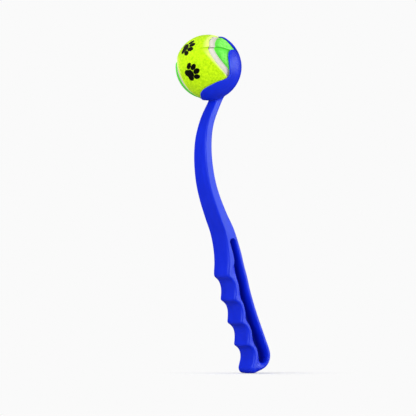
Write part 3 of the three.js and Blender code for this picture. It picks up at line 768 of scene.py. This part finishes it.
def seam_tree(finish):
    """Geometry Nodes for the band, in millimetres round the ball's middle."""
    tree = bpy.data.node_groups.new("seam band", "GeometryNodeTree")
    face = tree.interface
    face.new_socket("Geometry", in_out="OUTPUT", socket_type="NodeSocketGeometry")
    for name, value in BAND.items():
        kind = "NodeSocketInt" if isinstance(value, int) else "NodeSocketFloat"
        face.new_socket(name, in_out="INPUT", socket_type=kind).default_value = value
    given = add_node(tree, "NodeGroupInput").outputs
    grid = add_node(tree, "GeometryNodeMeshGrid", inputs={
        "Size X": 1.0, "Size Y": 1.0, "Vertices X": given["Steps round"], "Vertices Y": given["Steps across"]})
    place = add_node(tree, "GeometryNodeInputPosition")
    flat = add_node(tree, "ShaderNodeSeparateXYZ", inputs={0: place.outputs[0]}).outputs
    turn = add_node(tree, "ShaderNodeMath", {"operation": "MULTIPLY"}, {0: flat["X"], 1: 2 * math.pi}).outputs[0]
    wide = add_node(tree, "ShaderNodeMath", {"operation": "SUBTRACT"}, {0: 1.0, 1: given["Lobe"]}).outputs[0]
    both = add_node(tree, "ShaderNodeMath", {"operation": "MULTIPLY"}, {0: wide, 1: given["Lobe"]}).outputs[0]
    root = add_node(tree, "ShaderNodeMath", {"operation": "SQRT"}, {0: both}).outputs[0]
    tall = add_node(tree, "ShaderNodeMath", {"operation": "MULTIPLY"}, {0: root, 1: 2.0}).outputs[0]
    waves = {}
    for times in (1, 2, 3):
        angle = add_node(tree, "ShaderNodeMath", {"operation": "MULTIPLY"}, {0: turn, 1: float(times)}).outputs[0]
        for wave in ("SINE", "COSINE"):
            waves[wave, times] = add_node(tree, "ShaderNodeMath", {"operation": wave}, {0: angle}).outputs[0]
    # Each row: the point's and the tangent's X, Y and Z as wave, times, size and factor
    sums = {
        "point": [[("COSINE", 1, wide, 1), ("COSINE", 3, given["Lobe"], 1)],
                  [("SINE", 1, wide, 1), ("SINE", 3, given["Lobe"], -1)], [("SINE", 2, tall, 1)]],
        "tangent": [[("SINE", 1, wide, -1), ("SINE", 3, given["Lobe"], -3)],
                    [("COSINE", 1, wide, 1), ("COSINE", 3, given["Lobe"], -3)], [("COSINE", 2, tall, 2)]],
    }
    vectors = {}
    for name, rows in sums.items():
        parts = []
        for row in rows:
            total = 0.0
            for wave, times, size, factor in row:
                sized = add_node(tree, "ShaderNodeMath", {"operation": "MULTIPLY"},
                                 {0: waves[wave, times], 1: size}).outputs[0]
                total = add_node(tree, "ShaderNodeMath", {"operation": "MULTIPLY_ADD"},
                                 {0: sized, 1: float(factor), 2: total}).outputs[0]
            parts.append(total)
        vectors[name] = add_node(tree, "ShaderNodeCombineXYZ", inputs=dict(enumerate(parts))).outputs[0]
    tangent = add_node(tree, "ShaderNodeVectorMath", {"operation": "NORMALIZE"}, {0: vectors["tangent"]}).outputs[0]
    across = add_node(tree, "ShaderNodeVectorMath", {"operation": "CROSS_PRODUCT"},
                      {0: vectors["point"], 1: tangent}).outputs[0]
    offset = add_node(tree, "ShaderNodeMath", {"operation": "MULTIPLY"},
                      {0: flat["Y"], 1: given["Width"]}).outputs[0]
    angle = add_node(tree, "ShaderNodeMath", {"operation": "DIVIDE"}, {0: offset, 1: given["Radius"]}).outputs[0]
    legs = []
    for wave, vector in (("COSINE", vectors["point"]), ("SINE", across)):
        size = add_node(tree, "ShaderNodeMath", {"operation": wave}, {0: angle}).outputs[0]
        legs.append(add_node(tree, "ShaderNodeVectorMath", {"operation": "SCALE"},
                             {0: vector, "Scale": size}).outputs[0])
    direction = add_node(tree, "ShaderNodeVectorMath", {"operation": "ADD"}, {0: legs[0], 1: legs[1]}).outputs[0]
    position = add_node(tree, "ShaderNodeVectorMath", {"operation": "SCALE"},
                        {0: direction, "Scale": given["Radius"]}).outputs[0]
    bent = add_node(tree, "GeometryNodeSetPosition", inputs={
        "Geometry": grid.outputs["Mesh"], "Position": position})
    joined = add_node(tree, "GeometryNodeMergeByDistance", inputs={
        "Geometry": bent.outputs[0], "Distance": MERGE_WITHIN})
    real = add_node(tree, "GeometryNodeRealizeInstances", inputs={"Geometry": joined.outputs[0]})
    painted = add_node(tree, "GeometryNodeSetMaterial", inputs={"Geometry": real.outputs[0], "Material": finish})
    add_node(tree, "NodeGroupOutput", inputs={0: painted.outputs[0]})
    return tree


print("seam %.0f mm round" % (BALL_RADIUS * np.linalg.norm(
    np.diff(seam_point(np.linspace(0, 2 * np.pi, BAND["Steps round"])), axis=0), axis=1).sum()))

# %% A mesh from a tree
def grown(name, tree, values):
    """A plain mesh object from a tree, its inputs set by identifier before it is evaluated."""
    piece = bpy.data.objects.new(name, bpy.data.meshes.new(name))
    bpy.context.scene.collection.objects.link(piece)
    grower = piece.modifiers.new(tree.name, "NODES")
    grower.node_group = tree
    for item in tree.interface.items_tree:
        if item.item_type == "SOCKET" and item.in_out == "INPUT" and item.name in values:
            grower[item.identifier] = values[item.name]
    return applied(piece)


# %% [markdown]
# ## Finishes: the moulded plastic
# The arm is polypropylene, coloured right through and injection moulded in a polished tool: a
# satin skin with a soft, broad highlight, very slight ripples from the way it shrinks, and flow
# streaks that show mostly in the gloss. The colour itself hardly varies, except for painted shade
# deep in the side channels. The plastic is a little translucent, so light spreads under its skin
# and its gleam takes on some of the blue.

# %% Moulded polypropylene
def material(name):
    made = bpy.data.materials.new(name)
    made.use_nodes = True
    made.node_tree.nodes.clear()
    return made, made.node_tree


def moulded_polypropylene():
    made, tree = material("moulded polypropylene, satin blue")
    place = add_node(tree, "ShaderNodeTexCoord").outputs["Object"]
    # Shrink ripples are about 22 mm apart; flow streaks are 6 mm wide and 30 mm long, up the arm
    ripple = add_node(tree, "ShaderNodeTexNoise", inputs={"Vector": place, "Scale": 45.0, "Detail": 2.0})
    stretched = add_node(tree, "ShaderNodeMapping", inputs={"Vector": place, "Scale": (1.0, 1.0, 0.2)})
    streak = add_node(tree, "ShaderNodeTexNoise", inputs={
        "Vector": stretched.outputs[0], "Scale": 160.0, "Detail": 5.0, "Roughness": 0.6})
    # The tool's polish leaves a grain that is finer than this 0.7 mm, drawn coarse enough to show
    grain = add_node(tree, "ShaderNodeTexNoise", inputs={"Vector": place, "Scale": 1400.0, "Detail": 3.0})
    tone = add_node(tree, "ShaderNodeMapRange", inputs={
        "Value": streak.outputs[0], "From Min": 0.3, "From Max": 0.7, "To Min": 0.0, "To Max": 1.0})
    colour = add_node(tree, "ShaderNodeMix", {"data_type": "RGBA"}, {
        "Factor": tone.outputs[0], "A": linear("#0421CA"), "B": linear("#0826D6")})
    # Painted shade: the channels are painted darker the deeper a point lies in them, so they look deeper
    sunk = add_node(tree, "ShaderNodeAttribute", {"attribute_name": "recess"}).outputs["Fac"]
    channel_shade = add_node(tree, "ShaderNodeMapRange", {"interpolation_type": "SMOOTHSTEP"}, {
        "Value": sunk, "From Min": 0.3, "From Max": 1.0, "To Min": 0.0, "To Max": 0.75})
    channel_shaded = add_node(tree, "ShaderNodeMix", {"data_type": "RGBA"}, {
        "Factor": channel_shade.outputs[0], "A": colour.outputs["Result"], "B": linear("#02108C")})
    gloss = add_node(tree, "ShaderNodeMapRange", inputs={
        "Value": streak.outputs[0], "From Min": 0.25, "From Max": 0.75, "To Min": 0.38, "To Max": 0.46})
    shrink = add_node(tree, "ShaderNodeBump", inputs={
        "Height": ripple.outputs[0], "Strength": 0.12, "Distance": 0.0015})
    skin = add_node(tree, "ShaderNodeBump", inputs={
        "Height": grain.outputs[0], "Strength": 0.06, "Distance": 0.0002, "Normal": shrink.outputs[0]})
    plastic = add_node(tree, "ShaderNodeBsdfPrincipled", inputs={
        "Base Color": channel_shaded.outputs["Result"], "Roughness": gloss.outputs[0], "IOR": 1.49,
        "Specular IOR Level": 0.34, "Specular Tint": (0.62, 0.9, 1.0, 1.0), "Subsurface Weight": 0.05,
        "Subsurface Radius": (0.3, 0.4, 1.0), "Subsurface Scale": 0.002, "Normal": skin.outputs[0]})
    add_node(tree, "ShaderNodeOutputMaterial", inputs={"Surface": plastic.outputs[0]})
    return made


moulding.data.materials.append(moulded_polypropylene())
print("moulding's finish:", moulding.data.materials[0].name)

# %% [markdown]
# ## Finishes: the felt and its ink
# The panels are needled felt in two bright dyes. Felt scatters light in every direction, so it
# is fully rough, with a sheen from the fibre ends, clumps of nap a millimetre or two across
# and fine specks between them. The paw prints are black ink rubbed into the nap: four oval
# toes and a pad of four ovals, each a stretched circle in the paw's flat coordinates, with an
# edge that the fibres break up. Light is painted along each panel's cut edge: a painted
# highlight on the yellow and painted shade on the green. The core's parting line shows as a
# thin crease, open at the right of the photograph and pressed shut on the other side; where it
# is open, a painted shadow darkens the crease and painted shade lies just below it.

# %% The paw print's ink
# Middle across and forward, half width and half length of each oval in millimetres, and its turn
PAW_OVALS = [
    (-6.8, 4.9, 2.5, 3.4, 28), (-2.7, 8.1, 2.6, 3.5, 10), (2.7, 7.8, 2.7, 3.6, -10), (6.7, 3.9, 2.5, 3.3, -36),
    (0.0, 0.8, 4.5, 3.7, 0), (-3.3, -1.7, 3.1, 3.0, -30), (3.3, -1.7, 3.1, 3.0, 30), (0.0, -1.4, 3.4, 2.6, 0),
]
INK_SOLID, INK_GONE = 0.92, 1.14


def paw_mask(tree, rough_edge):
    """1 inside the paw print's ovals and 0 outside, from the UV map paw."""
    flat = add_node(tree, "ShaderNodeAttribute", {"attribute_name": "paw"}).outputs["Vector"]
    nearest = OFF_PAW
    for across, forward, half_width, half_length, turn in PAW_OVALS:
        oval = add_node(tree, "ShaderNodeMapping", {"vector_type": "TEXTURE"}, {
            "Vector": flat, "Location": (across / PAW_REACH, forward / PAW_REACH, 0),
            "Rotation": (0, 0, math.radians(turn)),
            "Scale": (half_width / PAW_REACH, half_length / PAW_REACH, 1)})
        size = add_node(tree, "ShaderNodeVectorMath", {"operation": "LENGTH"}, {0: oval.outputs[0]})
        nearest = add_node(tree, "ShaderNodeMath", {"operation": "MINIMUM"},
                           {0: size.outputs["Value"], 1: nearest}).outputs[0]
    frayed = add_node(tree, "ShaderNodeMath", {"operation": "ADD"}, {0: nearest, 1: rough_edge}).outputs[0]
    return add_node(tree, "ShaderNodeMapRange", {"interpolation_type": "SMOOTHSTEP"}, {
        "Value": frayed, "From Min": INK_SOLID, "From Max": INK_GONE, "To Min": 1.0, "To Max": 0.0}).outputs[0]


print("a paw print has %d ovals" % len(PAW_OVALS))

# %% The painted shadow along the parting line's crease
# In millimetres: the painted shadow line's dark and faint half widths, the height of the painted
# shade under it and of that shade's upper edge; the crease opens over the same stretch as the kink
CREASE_DARK, CREASE_FAINT, SHADE_HEIGHT, SHADE_EDGE = 0.168, 0.924, 8.0, 0.6


def parting_masks(tree, place):
    """Two masks of painted light: the shadow in the crease along the core's parting line, and the shade just below
    it.
    """
    middle = add_node(tree, "ShaderNodeVectorMath", {"operation": "SUBTRACT"}, {0: place, 1: tuple(BALL_AT)})
    height, across = (add_node(tree, "ShaderNodeVectorMath", {"operation": "DOT_PRODUCT"},
                               {0: middle.outputs[0], 1: tuple(axis)}).outputs["Value"]
                      for axis in (PARTING, VIEW_RIGHT))
    away = add_node(tree, "ShaderNodeMath", {"operation": "ABSOLUTE"}, {0: height}).outputs[0]
    masks = []
    for value, start, stop, low, high in (
            (away, CREASE_DARK, CREASE_FAINT, 1.0, 0.0), (across, KINK_START, KINK_START + KINK_FADE, 0.0, 1.0),
            (height, -SHADE_HEIGHT, 0.0, 0.0, 1.0), (height, 0.0, SHADE_EDGE, 1.0, 0.0)):
        masks.append(add_node(tree, "ShaderNodeMapRange", {"interpolation_type": "SMOOTHSTEP"}, {
            "Value": value, "From Min": start * MM, "From Max": stop * MM,
            "To Min": low, "To Max": high}).outputs[0])
    line, open_end, below, cut_off = masks
    crease_shadow = add_node(tree, "ShaderNodeMath", {"operation": "MULTIPLY"}, {0: line, 1: open_end}).outputs[0]
    shade = add_node(tree, "ShaderNodeMath", {"operation": "MULTIPLY"}, {0: below, 1: cut_off}).outputs[0]
    shade = add_node(tree, "ShaderNodeMath", {"operation": "MULTIPLY"}, {0: shade, 1: open_end}).outputs[0]
    return crease_shadow, shade


# %% Dyed felt
# Millimetres from the cut edge over which the painted light along the edge fades into the rest
PAINTED_EDGE_FROM, PAINTED_EDGE_TO = 0.6, 7.5


def dyed_felt(name, low, high, crease_shadow_colour, painted_edge_colour, painted_shade_colour):
    made, tree = material(name)
    place = add_node(tree, "ShaderNodeTexCoord").outputs["Object"]
    # Clumps of nap are about 2 mm across and fibre specks 0.4 mm, drawn a little coarse to show
    clumps = add_node(tree, "ShaderNodeTexNoise", inputs={"Vector": place, "Scale": 430.0, "Detail": 4.0})
    specks = add_node(tree, "ShaderNodeTexNoise", inputs={"Vector": place, "Scale": 2200.0, "Detail": 3.0})
    nap = add_node(tree, "ShaderNodeMath", {"operation": "ADD"}, {0: clumps.outputs[0], 1: specks.outputs[0]})
    shade = add_node(tree, "ShaderNodeMapRange", inputs={
        "Value": nap.outputs[0], "From Min": 0.8, "From Max": 1.2, "To Min": 0.0, "To Max": 1.0})
    dye = add_node(tree, "ShaderNodeMix", {"data_type": "RGBA"}, {
        "Factor": shade.outputs[0], "A": linear(low), "B": linear(high)})
    # Painted light along the cut edges: a painted highlight on the yellow, as on a rolled edge that catches the
    # light, and painted shade on the green
    inside = add_node(tree, "ShaderNodeAttribute", {"attribute_name": "inside"}).outputs["Fac"]
    painted_edge_share = add_node(tree, "ShaderNodeMapRange", {"interpolation_type": "SMOOTHSTEP"}, {
        "Value": inside, "From Min": PAINTED_EDGE_FROM, "From Max": PAINTED_EDGE_TO, "To Min": 0.8, "To Max": 0.0})
    painted_edge_light = add_node(tree, "ShaderNodeMix", {"data_type": "RGBA"}, {
        "Factor": painted_edge_share.outputs[0], "A": dye.outputs["Result"], "B": linear(painted_edge_colour)})
    crease_shadow, below = parting_masks(tree, place)
    # Painted shade just below the crease, where it is open
    lower = add_node(tree, "ShaderNodeMix", {"data_type": "RGBA"}, {
        "Factor": below, "A": painted_edge_light.outputs["Result"], "B": linear(painted_shade_colour)})
    # Painted shadow in the crease
    crease_shadowed = add_node(tree, "ShaderNodeMix", {"data_type": "RGBA"}, {
        "Factor": crease_shadow, "A": lower.outputs["Result"], "B": linear(crease_shadow_colour)})
    # The specks carry the ink out or hold it back at a print's edge
    fray = add_node(tree, "ShaderNodeMapRange", inputs={
        "Value": specks.outputs[0], "From Min": 0.2, "From Max": 0.8, "To Min": -0.12, "To Max": 0.12})
    inked = add_node(tree, "ShaderNodeMix", {"data_type": "RGBA"}, {
        "Factor": paw_mask(tree, fray.outputs[0]), "A": crease_shadowed.outputs["Result"], "B": linear("#010101")})
    bump = add_node(tree, "ShaderNodeBump", inputs={"Height": nap.outputs[0], "Strength": 0.6, "Distance": 0.0004})
    felt = add_node(tree, "ShaderNodeBsdfPrincipled", inputs={
        "Base Color": inked.outputs["Result"], "Roughness": 0.95, "IOR": 1.5,
        "Specular IOR Level": 0.06, "Sheen Weight": 0.1, "Sheen Roughness": 0.5,
        "Sheen Tint": (0.95, 1.0, 0.6, 1.0), "Normal": bump.outputs[0]})
    add_node(tree, "ShaderNodeOutputMaterial", inputs={"Surface": felt.outputs[0]})
    return made


# Colours: dye low and high, painted shadow in the crease, painted light on the cut edge (a highlight on the yellow,
# shade on the green), painted shade below the crease
yellow = dyed_felt("dyed yellow-green felt", "#9CCC04", "#C4EE13", "#8FBB08", "#E0FB84", "#B4DE10")
green = dyed_felt("dyed bright green felt", "#5CD83E", "#90F671", "#2A9A1C", "#4CC434", "#4FD232")
for colour, finish in (("yellow", yellow), ("green", green)):
    felts[colour].data.materials.append(finish)
    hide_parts("felt_panel_" + colour)
    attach(felts[colour], "ball")
print("felt finishes:", yellow.name, "and", green.name)

# %% [markdown]
# ## Finishes: the cement and the core's rubber
# Rubber cement dries matt and a little lumpy, and dust and grass dull its white to a warm grey.
# The core's rubber is a dark compound with a faint bloom. It is all inside the felt, but it
# still gets its finish, because a ball that splits shows it.

# %% Rubber cement
def rubber_cement():
    made, tree = material("white rubber cement, matt")
    place = add_node(tree, "ShaderNodeTexCoord").outputs["Object"]
    # Brushed cement dries with lumps about 1.4 mm apart
    lumps = add_node(tree, "ShaderNodeTexNoise", inputs={"Vector": place, "Scale": 700.0, "Detail": 4.0})
    base = add_node(tree, "ShaderNodeMix", {"data_type": "RGBA"}, {
        "Factor": lumps.outputs[0], "A": linear("#C4BDB6"), "B": linear("#DAD4CD")})
    # The crease along the core's parting line is painted shadow on the cement as well
    crease_shadowed = add_node(tree, "ShaderNodeMix", {"data_type": "RGBA"}, {
        "Factor": parting_masks(tree, place)[0], "A": base.outputs["Result"], "B": linear("#6E625C")})
    bump = add_node(tree, "ShaderNodeBump", inputs={
        "Height": lumps.outputs[0], "Strength": 0.25, "Distance": 0.0003})
    cement = add_node(tree, "ShaderNodeBsdfPrincipled", inputs={
        "Base Color": crease_shadowed.outputs["Result"], "Roughness": 0.8, "IOR": 1.5, "Specular IOR Level": 0.3,
        "Normal": bump.outputs[0]})
    add_node(tree, "ShaderNodeOutputMaterial", inputs={"Surface": cement.outputs[0]})
    return made


# %% The cement band
BAND_THICKNESS, BAND_SHARP = 2.2, 40.0
cement = grown("seam_band", seam_tree(rubber_cement()), BAND)
flat = np.empty(len(cement.data.vertices) * 3)
cement.data.vertices.foreach_get("co", flat)
cement.data.vertices.foreach_set("co", (on_ball(flat.reshape(-1, 3)) * MM).ravel())
solid = cement.modifiers.new("thickness", "SOLIDIFY")
solid.thickness, solid.offset = BAND_THICKNESS * MM, -1
applied(cement)
outward_facing(cement)
cement.data.shade_smooth()
cement.data.set_sharp_from_angle(angle=math.radians(BAND_SHARP))
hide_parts("seam_cement")
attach(cement, "ball")
print("cement band: %d faces" % len(cement.data.polygons))


# %% The core's rubber
def core_rubber():
    made, tree = material("moulded core rubber, dark")
    place = add_node(tree, "ShaderNodeTexCoord").outputs["Object"]
    # Sulphur blooms out in faint clouds about 3 mm across
    bloom = add_node(tree, "ShaderNodeTexNoise", inputs={"Vector": place, "Scale": 300.0, "Detail": 4.0})
    base = add_node(tree, "ShaderNodeMix", {"data_type": "RGBA"}, {
        "Factor": bloom.outputs[0], "A": linear("#252523"), "B": linear("#353532")})
    compound = add_node(tree, "ShaderNodeBsdfPrincipled", inputs={
        "Base Color": base.outputs["Result"], "Roughness": 0.75, "IOR": 1.52})
    add_node(tree, "ShaderNodeOutputMaterial", inputs={"Surface": compound.outputs[0]})
    return made


rubber = core_rubber()
for name in ("core_half_upper", "core_half_lower"):
    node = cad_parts[name]
    node.data.materials.clear()
    node.data.materials.append(rubber)
    print(name, "in", rubber.name)

# %% [markdown]
# ## Camera
# The photograph looks across the grip's front and its +X side from far away, so the camera
# stands 54 degrees round from the front on a long lens, level with the middle of the thrower.
# One pixel of the frame is one millimetre at the thrower.

# %% Camera
# The frame's width in millimetres, the distance in metres, and the sensor's width
FRAME_MM, DISTANCE, SENSOR = 416.0, 8.0, 36.0
# The frame's middle, in millimetres to the right of the ball's middle and below it
RIGHT_SHIFT, DROP = 0.3, 141.25
CLIP_END = 100
toward = Vector(VIEW_TOWARD)
target = Vector(BALL_AT) + Vector(VIEW_RIGHT) * RIGHT_SHIFT * MM - Vector(UP) * DROP * MM
camera = bpy.data.objects.new("camera", bpy.data.cameras.new("camera"))
camera.data.sensor_width = SENSOR
camera.data.lens = SENSOR * DISTANCE / (FRAME_MM * MM)
camera.data.clip_end = CLIP_END
camera.location = target + toward * DISTANCE
camera.rotation_euler = toward.to_track_quat("Z", "Y").to_euler()
bpy.context.scene.collection.objects.link(camera)
bpy.context.scene.camera = camera
print("lens %.0f mm" % camera.data.lens)

# %% [markdown]
# ## Floor, world and lamps
# The background is one pale tone. The camera sees the floor as that tone, given off by the
# floor itself, and a share of it near the butt is real reflected light, so only that share
# goes dark in the thrower's shadow. Other rays meet a grey floor, which keeps the plastic's
# undersides deep. Five soft boxes light the thrower: one at the right for its flat sides, one a
# little behind it for the gleam on the cup's petals, one left of the camera for the fronts and
# the ball, a small one near the camera for rounded edges, and one above.

# %% Floor
BACKDROP, SHADOW_TONE, HIDDEN_FLOOR = "#FAFAFA", "#E2E2E2", "#B4B4B4"
# Near the butt, this share of the tone is reflected light and this much less is given off
SHADOW_SHARE, SHADOW_LEVEL = 0.95, 0.87
# Metres from the butt over which that share fades out, and half the floor's side in millimetres
SHADOW_NEAR, SHADOW_FAR = 0.02, 0.11
FLOOR_HALF = 3000.0
lowest = min(v.co.z for v in moulding.data.vertices)
floor = mesh_object("floor", np.array([[-1, -1, 0], [1, -1, 0], [1, 1, 0], [-1, 1, 0]]) * FLOOR_HALF
                    + [0, 0, lowest / MM], [[0, 1, 2, 3]])
paper, tree = material("pale studio paper")
place = add_node(tree, "ShaderNodeTexCoord").outputs["Object"]
spread = add_node(tree, "ShaderNodeVectorMath", {"operation": "DISTANCE"}, {0: place, 1: tuple(-ORIGIN * MM)})
share = add_node(tree, "ShaderNodeMapRange", {"interpolation_type": "SMOOTHSTEP"}, {
    "Value": spread.outputs["Value"], "From Min": SHADOW_NEAR, "From Max": SHADOW_FAR,
    "To Min": SHADOW_SHARE, "To Max": 0.0})
rest = add_node(tree, "ShaderNodeMath", {"operation": "MULTIPLY_ADD"},
                {0: share.outputs[0], 1: -SHADOW_LEVEL, 2: 1.0})
glow = add_node(tree, "ShaderNodeEmission", inputs={"Color": linear(BACKDROP), "Strength": rest.outputs[0]})
tint = add_node(tree, "ShaderNodeMix", {"data_type": "RGBA"}, {
    "Factor": share.outputs[0], "A": (0, 0, 0, 1), "B": linear(SHADOW_TONE)})
lit = add_node(tree, "ShaderNodeBsdfDiffuse", inputs={"Color": tint.outputs["Result"]})
shown = add_node(tree, "ShaderNodeAddShader", inputs={0: glow.outputs[0], 1: lit.outputs[0]})
hidden = add_node(tree, "ShaderNodeBsdfDiffuse", inputs={"Color": linear(HIDDEN_FLOOR)})
path = add_node(tree, "ShaderNodeLightPath").outputs
both = add_node(tree, "ShaderNodeMixShader", inputs={
    0: path["Is Camera Ray"], 1: hidden.outputs[0], 2: shown.outputs[0]})
add_node(tree, "ShaderNodeOutputMaterial", inputs={"Surface": both.outputs[0]})
floor.data.materials.append(paper)
floor.visible_glossy = False
print("floor at %.4f m" % lowest)

# %% World
# Mirrored in the plastic, the room is darker than the paper, as beyond the soft boxes of a studio
FILL_LEVEL, MIRRORED_LEVEL = 0.36, 0.05
world = bpy.data.worlds.new("studio")
bpy.context.scene.world = world
world.use_nodes = True
tree = world.node_tree
tree.nodes.clear()
path = add_node(tree, "ShaderNodeLightPath").outputs
seen_ray = add_node(tree, "ShaderNodeMath", {"operation": "MAXIMUM"},
                    {0: path["Is Camera Ray"], 1: path["Is Transmission Ray"]}).outputs[0]
fill_level = add_node(tree, "ShaderNodeMapRange", inputs={
    "Value": path["Is Glossy Ray"], "To Min": FILL_LEVEL, "To Max": MIRRORED_LEVEL})
fill = add_node(tree, "ShaderNodeBackground", inputs={
    "Color": linear("#FFFFFF"), "Strength": fill_level.outputs[0]})
backdrop = add_node(tree, "ShaderNodeBackground", inputs={"Color": linear(BACKDROP), "Strength": 1.0})
sky = add_node(tree, "ShaderNodeMixShader", inputs={0: seen_ray, 1: fill.outputs[0], 2: backdrop.outputs[0]})
add_node(tree, "ShaderNodeOutputWorld", inputs={"Surface": sky.outputs[0]})
print("fill light %.2f of the paper's" % FILL_LEVEL)

# %% Lamps
LAMP_DISTANCE = 1.8
BOX_SIZE, SMALL_BOX = 0.9, 0.36
# Name, direction to the right, toward the camera and up, level and size in metres
LAMPS = [
    ("right_box", 0.95, 0.31, 0.08, 0.7, BOX_SIZE),
    ("rim_box", 0.93, -0.3, 0.22, 0.34, BOX_SIZE),
    ("camera_box", -0.62, 0.76, 0.2, 0.7, BOX_SIZE),
    ("edge_box", 0.1, 0.98, 0.14, 0.14, SMALL_BOX),
    ("top_box", -0.3, 0.05, 0.95, 0.46, BOX_SIZE),
]
for name, right, toward_camera, up, level, size in LAMPS:
    # The level is how bright the lamp makes a white surface that faces it
    light = bpy.data.lights.new(name, "AREA")
    light.size, light.energy = size, level * (math.pi * LAMP_DISTANCE) ** 2
    lamp = bpy.data.objects.new(name, light)
    way = Vector(seen(right, up, toward_camera))
    lamp.location = target + way * LAMP_DISTANCE
    lamp.rotation_euler = way.to_track_quat("Z", "Y").to_euler()
    bpy.context.scene.collection.objects.link(lamp)
    print("%s at level %.2f" % (name, level))
bpy.context.scene.view_settings.view_transform = "Standard"
